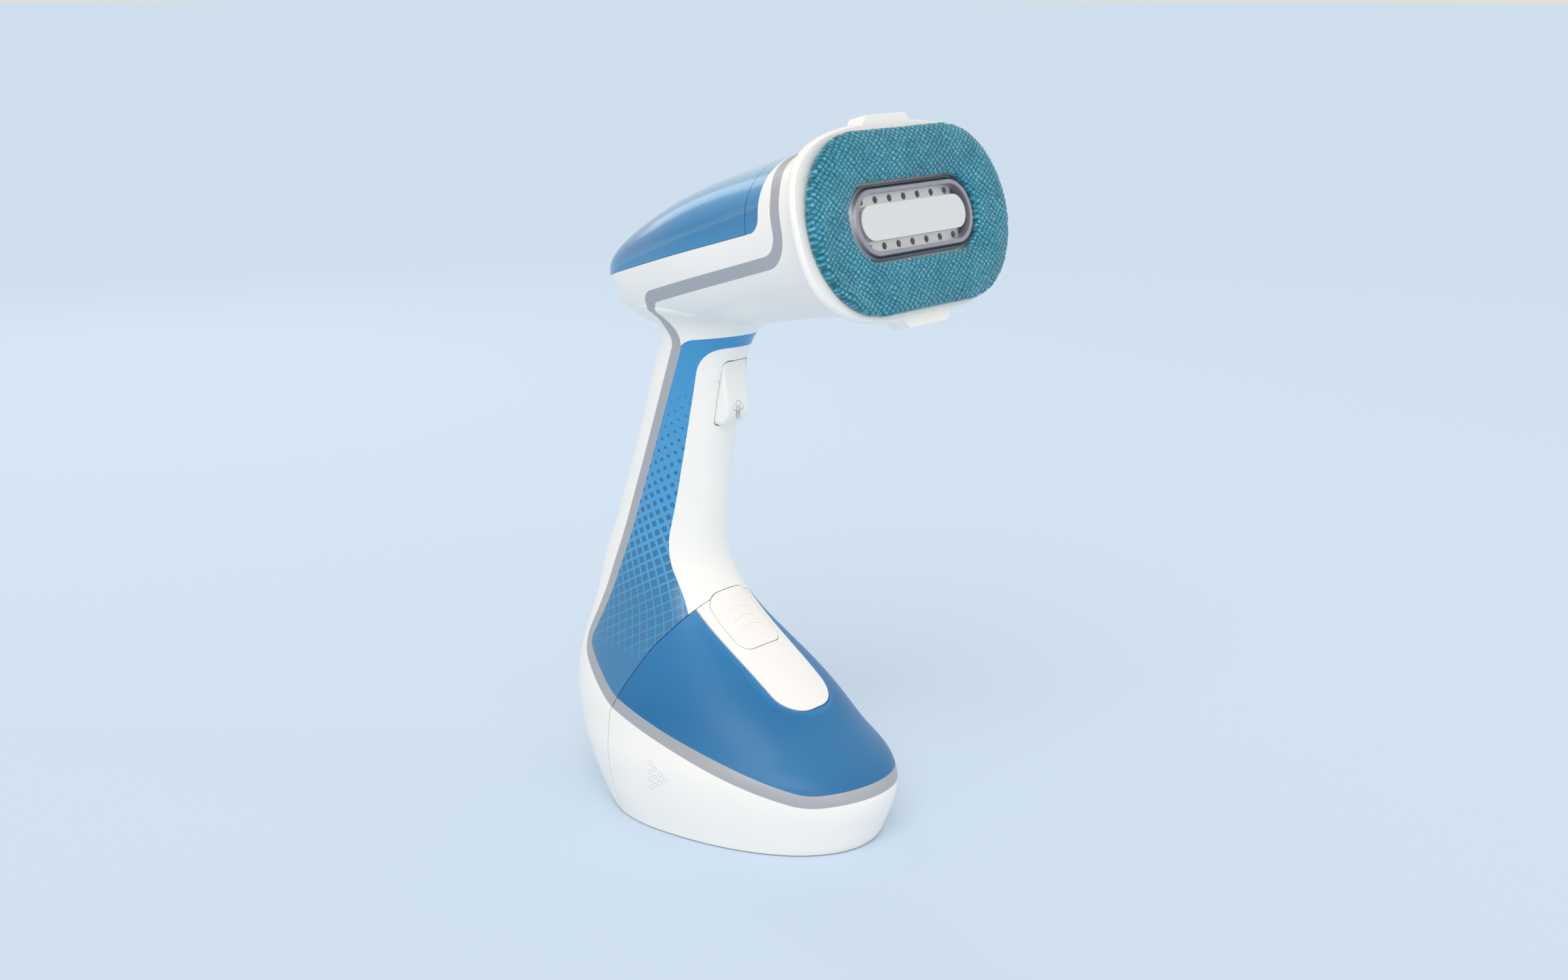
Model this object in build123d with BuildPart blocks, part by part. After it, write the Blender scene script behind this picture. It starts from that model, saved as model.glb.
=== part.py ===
from build123d import *
from math import cos, radians, sin
import os

os.makedirs("parts", exist_ok=True)

# Handheld garment steamer. Millimetres, +Z up, nozzle towards +X, Y = 0 is the plane of symmetry.
# The origin is under the middle of the whole length, on the surface that the steamer stands on.

# ---------------------------------------------------------------- driving dimensions
base_half = 49.0            # half-width of the base where it stands
rim_half = 55.0             # half-width of the base at its widest, along the silver rim
grip_half = 20.0            # half-width of the handle where the hand holds it
stand_height = 0.6          # what the feet stand proud of the base
outlet_x = 91.0             # centre of the steam outlet, front face
outlet_z = 298.0
head_tilt = 15.6            # nose-up angle of the head
head_half = 50.0            # half-width of the head behind the collar
wall = 2.4                  # shell walls
trim_width = 5.8            # silver trim
seam = 0.4                  # gap round pieces that come off or open
slide_gap = 0.3             # gap round pieces that slide or press
pin_gap = 0.05              # radial running clearance of a hinge pin

pad_length = 143.0          # textile pad, side to side
pad_height = 80.0
pad_thickness = 6.0
frame_length = 151.0        # pad frame, front edge
frame_height = 86.0
collar_length = 106.0       # fixed collar that carries the steam plate
collar_height = 62.0
collar_depth = 18.5
outlet_length = 89.6        # bevelled ring of the steam plate
outlet_height = 32.3
outlet_bevel = 2.2
pocket_length = 81.0        # sunk floor with the steam holes
pocket_height = 24.6
pocket_depth = 4.5
island_length = 76.0
island_height = 15.0
steam_hole_radius = 1.6
steam_hole_pitch = 10.3
steam_holes_per_row = 7

trigger_half = 8.2
trigger_pin_radius = 1.2
latch_half = 14.5
latch_length = 33.0
latch_pin_radius = 1.2
cover_barrel_radius = 2.2
cover_pin_radius = 1.0
strip_half = 20.0
spigot_radius = 4.0
spigot_height = 30.0
pump_radius = 13.0
tube_radius = 2.5
tube_bore = 1.5
gland_radius = 5.5
gland_bore = 3.4
foot_radius = 5.0

# ---------------------------------------------------------------- frames of reference
nose = (cos(radians(head_tilt)), 0, sin(radians(head_tilt)))
crown = (-sin(radians(head_tilt)), 0, cos(radians(head_tilt)))
outlet_point = (outlet_x, 0, outlet_z)
# Sections of the head: local x is up the head, local y is sideways.
head_section = Plane(origin=outlet_point, x_dir=crown, z_dir=nose)
# Face of the head: local x is sideways, local y is up the head.
head_face = Plane(origin=outlet_point, x_dir=(0, 1, 0), z_dir=nose)
# Side view of the head: local x is along the nose, local y is up the head.
head_side = Plane(origin=outlet_point, x_dir=nose, z_dir=(0, -1, 0))
reach = 100.0               # half-length of cutters that go right across

# ---------------------------------------------------------------- outer form
# Level sections of the handle and base: height, rear, widest place, front, half-width.
body_sections = [
    (stand_height, -78, -19, 67.5, base_half),
    (7, -82.3, -19.5, 70.8, rim_half - 4.4),
    (14, -86, -20, 73.6, rim_half - 2.5),
    (27, -92, -21, 76.5, rim_half),
    (34, -95, -22, 74.3, rim_half + 0.5),
    (45, -99, -24, 60, rim_half - 1),
    (60, -102, -29, 41.5, rim_half - 4),
    (76, -101, -36, 22, rim_half - 11),
    (92, -97, -42, 1, 35),
    (108, -93.5, -46, -15, 28),
    (120, -90.5, -49, -22, 25),
    (134, -85, -50, -24, grip_half + 2.5),
    (150, -79, -49, -22.5, grip_half + 1),
    (170, -72, -44, -20, grip_half),
    (195, -64, -38, -15.5, grip_half - 1),
    (225, -55, -31, -8.5, grip_half - 2),
    (238, -54, -28, -1, grip_half - 1),
    (245, -64, -26, 12, grip_half + 4),
    (250, -74, -24, 26, grip_half + 8),
]
# Sections across the head: place from the outlet, lowest, widest, highest, half-width, fullness.
head_sections = [
    (-177, 2, 6, 9, 5, 0.57),
    (-173, -6, 7, 15, 13, 0.57),
    (-160, -18, 8, 23, head_half - 25, 0.57),
    (-140, -24, 8, 29.5, head_half - 17, 0.57),
    (-118, -28, 8, 34.5, head_half - 10, 0.57),
    (-80, -32, 7, 38.5, head_half - 3.5, 0.58),
    (-50, -35, 5, 39.5, head_half, 0.61),
    (-34, -36, 3, 39, head_half + 2.5, 0.66),
    (-24, -36, 1, 38, head_half + 5, 0.70),
]
head_front = head_sections[-1][0]


def egg(rear, widest, front, half, fullness):
    """Closed egg outline on the local x axis, as four Bezier quarters."""
    back = rear + (widest - rear) * (1 - fullness)
    ahead = front - (front - widest) * (1 - fullness)
    Bezier((front, 0), (front, -half * fullness), (ahead, -half), (widest, -half))
    Bezier((widest, -half), (back, -half), (rear, -half * fullness), (rear, 0))
    Bezier((rear, 0), (rear, half * fullness), (back, half), (widest, half))
    Bezier((widest, half), (ahead, half), (front, half * fullness), (front, 0))


def body_loft(inset, floor):
    """Handle and base as one smooth solid, drawn in by inset, from the height floor upwards."""
    with BuildPart() as form:
        for height, rear, widest, front, half in body_sections:
            with BuildSketch(Plane.XY.offset(max(height, floor))):
                with BuildLine():
                    egg(rear + inset, widest, front - inset, half - inset, 0.6)
                make_face()
        loft()
    return form.part


def head_loft(sections, inset, front):
    """Head as one smooth solid through the sections, drawn in by inset, ending at front."""
    with BuildPart() as form:
        for place, low, widest, high, half, fullness in sections:
            with BuildSketch(head_section.offset(min(place, front))):
                with BuildLine():
                    egg(low + inset, widest, high - inset, half - inset, fullness)
                make_face()
        loft()
    return form.part


def slot_plate(length, height, back, front):
    """Slot-shaped plate across the head, between two distances from the outlet."""
    with BuildPart() as plate:
        with BuildSketch(head_face.offset(back)):
            SlotOverall(length, height)
        extrude(amount=front - back)
    return plate.part


def head_block(back, front, low, high, half, corner=0.0):
    """Block in the head, square to its axis: back and front, low and high, and half-width."""
    with BuildPart() as block:
        with BuildSketch(head_side):
            with Locations(((back + front) / 2, (low + high) / 2)):
                Rectangle(front - back, high - low)
            if corner:
                fillet(vertices().sort_by(Axis(outlet_point, nose))[-2:], corner)
        extrude(amount=half, both=True)
    return block.part


def rod(start, end, radius):
    """Round bar between two points."""
    with BuildPart() as bar:
        with BuildSketch(Plane(origin=start, z_dir=(Vector(*end) - Vector(*start)))):
            Circle(radius)
        extrude(amount=(Vector(*end) - Vector(*start)).length)
    return bar.part


def level_block(rear, front, half, low, high):
    """Upright block centred on the plane of symmetry."""
    with BuildPart(Plane(origin=((rear + front) / 2, 0, (low + high) / 2))) as block:
        Box(front - rear, 2 * half, high - low)
    return block.part


def on_head(along, up, side=0.0):
    """Point given by its place along the nose, up the head and to the side."""
    return tuple(head_face.offset(along).from_local_coords((side, up, 0)))


def save(piece, name):
    """Label a finished piece and write it as its own STEP file."""
    piece.part.label = name
    export_step(piece.part, f"parts/{name}.step")


handle_body = body_loft(0, stand_height)
handle_hollow = body_loft(wall, stand_height + wall)
head_body = head_loft(head_sections, 0, head_front)
head_hollow = head_loft(head_sections[1:], wall, head_front - wall)

with BuildPart() as outside:
    add(handle_body)
    add(head_body)

with BuildPart() as inside:
    add(handle_hollow)
    add(head_hollow)

with BuildPart() as skin:
    add(outside.part)
    add(inside.part, mode=Mode.SUBTRACT)

# ---------------------------------------------------------------- side-view regions
# Centre line of the silver trim, from the crown of the head, down the handle and along the rim.
trim_corners = [(35, 330), (51, 311), (60, 282.7), (-47.5, 251.2), (-31.3, 233),
                (-81.5, 79), (-49, 60), (59, 29.5), (93, 33)]
trim_radii = [24, 12, 9, 9, 8, 36, 30]
parting_corners = [(-3, 128), (-33, 86.5), (-49.5, 54), (-49.5, -8)]
parting_radii = [50, 12]
grip_corners = [(13, 232.5), (-19.5, 229.5), (-38.8, 129), (-16, 93)]
grip_radii = [15, 32]
chin_corners = [(-47, 211.5), (-27, 233.5), (21, 240)]
chin_radii = [14]
far_front = 145.0
far_rear = -125.0
far_top = 350.0


def side_prism(corners, radii, closing, grow=0.0):
    """Prism right across the steamer over a rounded polyline closed through further corners."""
    with BuildPart() as prism:
        with BuildSketch(Plane.XZ):
            with BuildLine():
                edge = FilletPolyline(*corners, radius=radii)
                Polyline(edge @ 1, *closing, edge @ 0)
            make_face()
            if grow:
                offset(amount=grow)
        extrude(amount=reach, both=True)
    return prism.part


front_closing = [(far_front, trim_corners[-1][1]), (far_front, far_top), (trim_corners[0][0], far_top)]
ahead_of_trim = side_prism(trim_corners, trim_radii, front_closing, -trim_width / 2)
up_to_trim = side_prism(trim_corners, trim_radii, front_closing, trim_width / 2)
tank_closing = [(far_front, -8), (far_front, 128)]
tank_side = side_prism(parting_corners, parting_radii, tank_closing)
tank_side_clear = side_prism(parting_corners, parting_radii, tank_closing, -seam)
dock_side = side_prism(parting_corners, parting_radii, tank_closing, wall)
grip_side = side_prism(grip_corners, grip_radii, [(40, grip_corners[-1][1]), (40, grip_corners[0][1])])
chin_side = side_prism(chin_corners, chin_radii, [(far_front, chin_corners[-1][1]), (far_front, far_top),
                        (chin_corners[0][0], far_top)])

# ---------------------------------------------------------------- capsule cover and its window
cover_edge = 7.4            # straight lower edge of the cover, above the axis of the head
cover_front = -54.0
window_front = -45.5
window_corner = 6.0
hinge_along = -173.4        # hinge of the cover, inside the very back of the head
hinge_up = cover_edge + 0.4
knuckle_half = 4.9
ear_outer = 9.2             # the hinge ears reach this far to each side
notch_half = 9.8
notch_floor = hinge_up - cover_barrel_radius - 0.2
notch_front = hinge_along + 1.8
notch_top = hinge_up + 2.4

bay = head_block(-190, cover_front, cover_edge, 60, reach)
bay_less_seam = head_block(-190, cover_front - seam, cover_edge + seam / 2, 60, reach)
window_slot = head_block(cover_front, window_front, cover_edge, 60, reach, window_corner)


def hinge_rod(half, radius):
    """Bar on the cover's hinge axis."""
    return rod(on_head(hinge_along, hinge_up, -half), on_head(hinge_along, hinge_up, half), radius)


with BuildPart() as capsule_cover:
    add(skin.part)
    add(bay_less_seam, mode=Mode.INTERSECT)
    add(head_block(-190, notch_front, 0, notch_top, notch_half), mode=Mode.SUBTRACT)
    add(head_block(-190, hinge_along + 1, 0, hinge_up + 1.2, reach), mode=Mode.SUBTRACT)
save(capsule_cover, "capsule_cover")

with BuildPart() as cover_knuckle:
    add(hinge_rod(knuckle_half, cover_barrel_radius))
    add(head_block(hinge_along - 2.1, hinge_along, hinge_up, notch_top, knuckle_half))
    add(hinge_rod(notch_half, cover_pin_radius + pin_gap), mode=Mode.SUBTRACT)
save(cover_knuckle, "cover_knuckle")

with BuildPart() as cover_hinge_ears:
    add(head_block(hinge_along - 1.5, notch_front, notch_floor, hinge_up + 1.6, ear_outer))
    add(head_block(hinge_along - 5, notch_front + 5, 0, 60, knuckle_half + slide_gap), mode=Mode.SUBTRACT)
    add(hinge_rod(notch_half, cover_pin_radius), mode=Mode.SUBTRACT)
save(cover_hinge_ears, "cover_hinge_ears")

with BuildPart() as cover_hinge_pin:
    add(hinge_rod(ear_outer, cover_pin_radius))
save(cover_hinge_pin, "cover_hinge_pin")

with BuildPart() as capsule_window:
    add(skin.part)
    add(window_slot, mode=Mode.INTERSECT)
save(capsule_window, "capsule_window")

# ---------------------------------------------------------------- handle shells
bottom_seam = 7.5           # height of the seam round the bottom covers
bottom_zone = level_block(far_rear, far_front, reach, -5, bottom_seam)

with BuildPart() as heel_zone:
    add(bottom_zone)
    add(tank_side, mode=Mode.SUBTRACT)

gland_height = 17.0

with BuildPart() as rear_shell:
    add(skin.part)
    add(up_to_trim, mode=Mode.SUBTRACT)
    add(tank_side, mode=Mode.SUBTRACT)
    add(bottom_zone, mode=Mode.SUBTRACT)
    add(bay, mode=Mode.SUBTRACT)
    add(window_slot, mode=Mode.SUBTRACT)
    add(head_block(-190, notch_front, notch_floor, 60, notch_half), mode=Mode.SUBTRACT)
    add(rod((-97, 0, gland_height), (-75, 0, gland_height), gland_radius), mode=Mode.SUBTRACT)
save(rear_shell, "rear_shell")

with BuildPart() as trim_band:
    add(up_to_trim)
    add(ahead_of_trim, mode=Mode.SUBTRACT)

with BuildPart() as side_trim:
    add(skin.part)
    add(trim_band.part, mode=Mode.INTERSECT)
    add(tank_side, mode=Mode.SUBTRACT)
save(side_trim, "side_trim")

with BuildPart() as head_front_shell:
    add(skin.part)
    add(ahead_of_trim, mode=Mode.INTERSECT)
    add(chin_side, mode=Mode.INTERSECT)
    add(slot_plate(96, 40, -40, 10), mode=Mode.SUBTRACT)
save(head_front_shell, "head_front_shell")

with BuildPart() as handle_window:
    add(skin.part)
    add(ahead_of_trim, mode=Mode.INTERSECT)
    add(chin_side, mode=Mode.SUBTRACT)
    add(grip_side, mode=Mode.SUBTRACT)
    add(tank_side, mode=Mode.SUBTRACT)
save(handle_window, "handle_window")

# ---------------------------------------------------------------- trigger
trigger_top = 223.4
trigger_low = 192.5
trigger_corner = 2.6
trigger_back = -23.0
trigger_pivot = (-18.5, 219.0)
ear_thickness = 2.5
ear_half = trigger_half + slide_gap + ear_thickness


def cross_rod(centre, half, radius):
    """Bar across the steamer at a point of the side view."""
    return rod((centre[0], -half, centre[1]), (centre[0], half, centre[1]), radius)


def trigger_prism(grow, top):
    """Prism along X on the rounded outline of the trigger, seen from the front."""
    with BuildPart() as prism:
        with BuildSketch(Plane.YZ.offset(-60)):
            with Locations((0, (trigger_low - grow + top) / 2)):
                RectangleRounded(2 * (trigger_half + grow), top - trigger_low + grow, trigger_corner)
        extrude(amount=70)
    return prism.part


with BuildPart() as trigger:
    with BuildSketch(Plane.XZ):
        with BuildLine():
            Polyline((trigger_back, trigger_low), (trigger_back, trigger_top), (-10.5, trigger_top))
            Spline((-10.5, trigger_top), (-10.2, 208), (-10.4, 197), (-13.5, trigger_low))
            Line((-13.5, trigger_low), (trigger_back, trigger_low))
        make_face()
    extrude(amount=trigger_half, both=True)
    fillet(trigger.edges().filter_by(lambda edge: edge.center().X > -14 and abs(edge.center().Y) > 7), 1.6)
    add(trigger_prism(0, trigger_top), mode=Mode.INTERSECT)
    add(cross_rod(trigger_pivot, reach, trigger_pin_radius + pin_gap), mode=Mode.SUBTRACT)
save(trigger, "trigger")

trigger_opening = trigger_prism(seam, trigger_top + 0.8)

with BuildPart() as ears:
    add(level_block(trigger_back, -13.2, ear_half, trigger_pivot[1] - 4, trigger_pivot[1] + 4))
    add(level_block(-60, 10, trigger_half + slide_gap, 0, far_top), mode=Mode.SUBTRACT)

# ---------------------------------------------------------------- tank latch
# The front of the handle and tank slopes at 45 degrees here: local x runs down the slope.
slope = Plane(origin=(-5.5, 0, 98.5), x_dir=(1, 0, -1), z_dir=(1, 0, 1))
latch_top = -16.5
latch_corner = 7.0
latch_thickness = 4.6
latch_stroke = 3.4
latch_pivot_place = (latch_top + latch_length - 3.6, -3.2)


def on_slope(down, out):
    """Side-view point given by its place down the slope and out from it."""
    place = slope.from_local_coords((down, 0, out))
    return (place.X, place.Z)


def latch_prism(grow, deep):
    """Prism on the latch outline, grown all round, from a depth under the slope to well outside."""
    with BuildPart() as prism:
        with BuildSketch(slope.offset(-deep)):
            with Locations((latch_top + latch_length / 2, 0)):
                RectangleRounded(latch_length + 2 * grow, 2 * (latch_half + grow), latch_corner + grow)
        extrude(amount=deep + 20)
    return prism.part


latch_pivot = on_slope(*latch_pivot_place)
latch_outline = latch_prism(0, latch_thickness)
latch_gap = latch_prism(seam, latch_thickness + latch_stroke)
latch_housing = latch_prism(seam + wall, latch_thickness + latch_stroke + wall)
rib_outside = body_loft(-0.7, stand_height)

with BuildPart() as latch_ribs:
    for rib in range(3):
        with BuildSketch(slope.offset(-1)):
            with BuildLine():
                middle = latch_top + 9 + 5.2 * rib
                ThreePointArc((middle + 1.6, -6.5), (middle, 0), (middle + 1.6, 6.5))
            trace(line_width=1.5)
        extrude(amount=12)
    add(rib_outside, mode=Mode.INTERSECT)

with BuildPart() as tank_latch:
    add(latch_outline)
    add(handle_body, mode=Mode.INTERSECT)
    add(latch_ribs.part)
    add(cross_rod(latch_pivot, reach, latch_pin_radius + pin_gap), mode=Mode.SUBTRACT)
save(tank_latch, "tank_latch")

with BuildPart() as latch_pin:
    add(cross_rod(latch_pivot, latch_half + seam + wall / 2, latch_pin_radius))
save(latch_pin, "latch_pin")

with BuildPart() as grip_panel:
    add(skin.part)
    add(ahead_of_trim, mode=Mode.INTERSECT)
    add(grip_side, mode=Mode.INTERSECT)
    add(tank_side, mode=Mode.SUBTRACT)
    add(trigger_opening, mode=Mode.SUBTRACT)
    add(latch_gap, mode=Mode.SUBTRACT)
    add(ears.part)
    add(cross_rod(trigger_pivot, ear_half - 0.6, trigger_pin_radius), mode=Mode.SUBTRACT)
save(grip_panel, "grip_panel")

with BuildPart() as trigger_pin:
    add(cross_rod(trigger_pivot, ear_half - 0.6, trigger_pin_radius))
save(trigger_pin, "trigger_pin")

# ---------------------------------------------------------------- tank
tank_floor = 20.0
strip_tip = 56.5            # tip of the white strip, down the slope
strip_taper = 3.0
strip_gap = 0.6
nest_gap = 0.3              # between the tank and the base shell round it


def strip_prism(grow, deep):
    """Prism on the outline of the white strip, grown all round."""
    wide = strip_half + 1 + grow
    narrow = strip_half + 1 - strip_taper + grow
    with BuildPart() as prism:
        with BuildSketch(slope.offset(-deep)):
            with BuildLine():
                FilletPolyline((-60, wide), (strip_tip + grow, narrow), (strip_tip + grow, -narrow),
                               (-60, -wide), radius=narrow - 3)
                Line((-60, -wide), (-60, wide))
            make_face()
        extrude(amount=deep + 30)
    return prism.part


nest_form = body_loft(wall + nest_gap, stand_height)
strip_bed = body_loft(wall + strip_gap / 3, stand_height)
lower_hollow = body_loft(2 * wall + nest_gap, stand_height)
above_floor = level_block(far_rear, far_front, reach, tank_floor, far_top)
above_inner_floor = level_block(far_rear, far_front, reach, tank_floor + wall, far_top)
tank_side_inner = side_prism(parting_corners, parting_radii, tank_closing, -seam - wall)
ahead_of_trim_inner = side_prism(trim_corners, trim_radii, front_closing, -trim_width / 2 - wall)

with BuildPart() as below_trim:
    add(level_block(far_rear - 5, far_front + 5, reach + 5, -20, 140))
    add(ahead_of_trim, mode=Mode.SUBTRACT)
    add(nest_form, mode=Mode.SUBTRACT)

with BuildPart() as strip_recess:
    add(strip_prism(strip_gap, 40))
    add(strip_bed, mode=Mode.SUBTRACT)

with BuildPart() as dome_hollow:
    add(handle_hollow)
    add(ahead_of_trim_inner, mode=Mode.INTERSECT)
    add(tank_side_inner, mode=Mode.INTERSECT)
    add(strip_prism(strip_gap + wall, 60), mode=Mode.SUBTRACT)
    add(latch_housing, mode=Mode.SUBTRACT)

with BuildPart() as tank_hollow:
    add(lower_hollow)
    add(tank_side_inner, mode=Mode.INTERSECT)
    add(above_inner_floor, mode=Mode.INTERSECT)
    add(latch_housing, mode=Mode.SUBTRACT)

valve_radius = 7.0
valve_rear = parting_corners[-1][0] + seam
valve_front = valve_rear + 9
spigot_reach = 6.0          # how far the spigot goes into the valve

filler_radius = 9.0
filler_rear = (valve_rear, 24, 44)
filler_front = (valve_rear + 5, 24, 44)

with BuildPart() as tank_vessel:
    add(handle_body)
    add(tank_side_clear, mode=Mode.INTERSECT)
    add(above_floor, mode=Mode.INTERSECT)
    add(below_trim.part, mode=Mode.SUBTRACT)
    add(strip_recess.part, mode=Mode.SUBTRACT)
    add(latch_gap, mode=Mode.SUBTRACT)
    add(tank_hollow.part, mode=Mode.SUBTRACT)
    add(dome_hollow.part, mode=Mode.SUBTRACT)
    add(rod((valve_rear - 20, 0, spigot_height), (valve_front, 0, spigot_height), valve_radius),
        mode=Mode.SUBTRACT)
    add(rod((valve_rear - 20, *filler_rear[1:]), filler_front, filler_radius), mode=Mode.SUBTRACT)
    add(cross_rod(latch_pivot, latch_half + seam + wall / 2, latch_pin_radius), mode=Mode.SUBTRACT)
save(tank_vessel, "tank_vessel")

with BuildPart() as filler_plug:
    add(rod(filler_rear, filler_front, filler_radius))
save(filler_plug, "filler_plug")

with BuildPart() as tank_strip:
    add(skin.part)
    add(tank_side_clear, mode=Mode.INTERSECT)
    add(strip_prism(0, 40), mode=Mode.INTERSECT)
    add(ahead_of_trim, mode=Mode.INTERSECT)
    add(latch_gap, mode=Mode.SUBTRACT)
    add(cross_rod(latch_pivot, latch_half + seam + wall / 2, latch_pin_radius), mode=Mode.SUBTRACT)
save(tank_strip, "tank_strip")

with BuildPart() as tank_trim:
    add(skin.part)
    add(tank_side_clear, mode=Mode.INTERSECT)
    add(up_to_trim, mode=Mode.INTERSECT)
    add(ahead_of_trim, mode=Mode.SUBTRACT)
save(tank_trim, "tank_trim")

with BuildPart() as tank_base_shell:
    add(skin.part)
    add(tank_side_clear, mode=Mode.INTERSECT)
    add(up_to_trim, mode=Mode.SUBTRACT)
    add(bottom_zone, mode=Mode.SUBTRACT)
save(tank_base_shell, "tank_base_shell")

screw_radius = 1.5
screw_head_radius = 2.8
foot_height = stand_height + 1.4
cover_screw_length = 9.0


def upright_rods(places, radius, low, high):
    """One upright bar at each place."""
    with BuildPart() as bars:
        with BuildSketch(Plane.XY.offset(low)):
            with Locations(*places):
                Circle(radius)
        extrude(amount=high - low)
    return bars.part


tank_feet_places = [(-35, 33), (-35, -33), (45, 21), (45, -21)]
heel_feet_places = [(-65, 20), (-65, -20)]
cover_screw_places = [(5, 38), (5, -38)]

with BuildPart() as tank_bottom_cover:
    add(skin.part)
    add(tank_side_clear, mode=Mode.INTERSECT)
    add(bottom_zone, mode=Mode.INTERSECT)
    add(upright_rods(tank_feet_places, foot_radius, 0, foot_height), mode=Mode.SUBTRACT)
    add(upright_rods(cover_screw_places, screw_radius, 0, 20), mode=Mode.SUBTRACT)
save(tank_bottom_cover, "tank_bottom_cover")

with BuildPart() as heel_cover:
    add(skin.part)
    add(heel_zone.part, mode=Mode.INTERSECT)
    add(upright_rods(heel_feet_places, foot_radius, 0, foot_height), mode=Mode.SUBTRACT)
save(heel_cover, "heel_cover")

with BuildPart() as tank_feet:
    add(upright_rods(tank_feet_places, foot_radius, 0, foot_height))
save(tank_feet, "tank_feet")

with BuildPart() as heel_feet:
    add(upright_rods(heel_feet_places, foot_radius, 0, foot_height))
save(heel_feet, "heel_feet")

# Pillars stand on the bottom cover and carry the vessel; the screws run up through them.
pillar_radius = 4.5
with BuildPart() as tank_pillars:
    add(upright_rods(cover_screw_places, pillar_radius, stand_height + wall, tank_floor))
    add(upright_rods(cover_screw_places, screw_radius, 0, tank_floor), mode=Mode.SUBTRACT)
save(tank_pillars, "tank_pillars")

with BuildPart() as bottom_screws:
    add(upright_rods(cover_screw_places, screw_radius, stand_height + 0.2, stand_height + cover_screw_length))
save(bottom_screws, "bottom_screws")

# ---------------------------------------------------------------- water path
dock_front = parting_corners[-1][0]
spigot_rear = dock_front - 13
spigot_bore = 2.0
valve_bore_depth = spigot_reach + 1.5

with BuildPart() as outlet_valve:
    add(rod((valve_rear, 0, spigot_height), (valve_front, 0, spigot_height), valve_radius))
    add(rod((valve_rear - 1, 0, spigot_height), (valve_rear + valve_bore_depth, 0, spigot_height),
            spigot_radius + slide_gap), mode=Mode.SUBTRACT)
save(outlet_valve, "outlet_valve")

with BuildPart() as dock_plate:
    add(inside.part)
    add(dock_side, mode=Mode.INTERSECT)
    add(tank_side, mode=Mode.SUBTRACT)
    add(level_block(far_rear, far_front, reach, -5, parting_corners[1][1] - 4), mode=Mode.INTERSECT)
    add(rod((spigot_rear, 0, spigot_height), (valve_front, 0, spigot_height), spigot_radius),
        mode=Mode.SUBTRACT)
save(dock_plate, "dock_plate")

with BuildPart() as dock_spigot:
    add(rod((spigot_rear, 0, spigot_height), (valve_rear + spigot_reach, 0, spigot_height), spigot_radius))
    add(rod((spigot_rear - 1, 0, spigot_height), (valve_rear + 20, 0, spigot_height), spigot_bore),
        mode=Mode.SUBTRACT)
save(dock_spigot, "dock_spigot")

pump_centre = (-56.0, 0.0)
pump_low = 120.0
pump_high = 165.0
nipple_length = 6.0

with BuildPart() as pump:
    add(upright_rods([pump_centre], pump_radius, pump_low + 8, pump_high - 6))
    add(upright_rods([pump_centre], pump_radius - 4, pump_low, pump_high))
    add(upright_rods([pump_centre], tube_radius, pump_low - nipple_length, pump_high + nipple_length))
save(pump, "pump")

with BuildPart() as pump_mount:
    add(handle_hollow)
    add(level_block(far_rear, far_front, reach, 140, 146), mode=Mode.INTERSECT)
    add(level_block(pump_centre[0] + pump_radius + 2, far_front, reach, 0, 300), mode=Mode.SUBTRACT)
    add(upright_rods([pump_centre], pump_radius, 100, 200), mode=Mode.SUBTRACT)
save(pump_mount, "pump_mount")


def hose(corners, radii):
    """Round hose in the plane of symmetry along a rounded path of side-view corners."""
    with BuildPart() as tube:
        with BuildLine(Plane.XZ) as path:
            FilletPolyline(*corners, radius=radii)
        with BuildSketch(Plane(origin=path.line @ 0, z_dir=path.line % 0)):
            Circle(tube_radius)
            Circle(tube_bore, mode=Mode.SUBTRACT)
        sweep()
    return tube.part


heater_back = -44.0
heater_inlet_up = -8.0
inlet_end = on_head(heater_back - nipple_length, heater_inlet_up)
before_inlet = on_head(heater_back - nipple_length - 52, heater_inlet_up)

with BuildPart() as suction_hose:
    add(hose([(spigot_rear, spigot_height), (-79, spigot_height), (-79, 82), (pump_centre[0], 103),
              (pump_centre[0], pump_low - nipple_length)], [9, 14, 8]))
save(suction_hose, "suction_hose")

with BuildPart() as steam_feed_hose:
    add(hose([(pump_centre[0], pump_high + nipple_length), (pump_centre[0], 182), (-33, 236),
              (before_inlet[0], before_inlet[2]), (inlet_end[0], inlet_end[2])], [30, 20, 14]))
save(steam_feed_hose, "steam_feed_hose")

gland_rear = -94.0
gland_length = 15.0

with BuildPart() as cord_gland:
    add(rod((gland_rear, 0, gland_height), (gland_rear + gland_length, 0, gland_height), gland_radius))
    add(rod((gland_rear - 1, 0, gland_height), (gland_rear + gland_length + 1, 0, gland_height), gland_bore),
        mode=Mode.SUBTRACT)
save(cord_gland, "cord_gland")

# ---------------------------------------------------------------- steam generator in the head
ring_wall_back = -8.0
ring_wall_front = -5.5
flange_thickness = 2.5
seal_thickness = 2.0
chamber_depth = 8.0
hole_row = (pocket_height + island_height) / 4
plate_back = ring_wall_back - flange_thickness
seal_back = plate_back - seal_thickness

with BuildPart() as steam_collar:
    add(slot_plate(collar_length, collar_height, head_front, ring_wall_front))
    add(slot_plate(collar_length - 2 * wall, collar_height - 2 * wall, head_front - 1, ring_wall_back),
        mode=Mode.SUBTRACT)
    add(slot_plate(outlet_length, outlet_height, ring_wall_back - 1, 1), mode=Mode.SUBTRACT)
save(steam_collar, "steam_collar")

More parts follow.
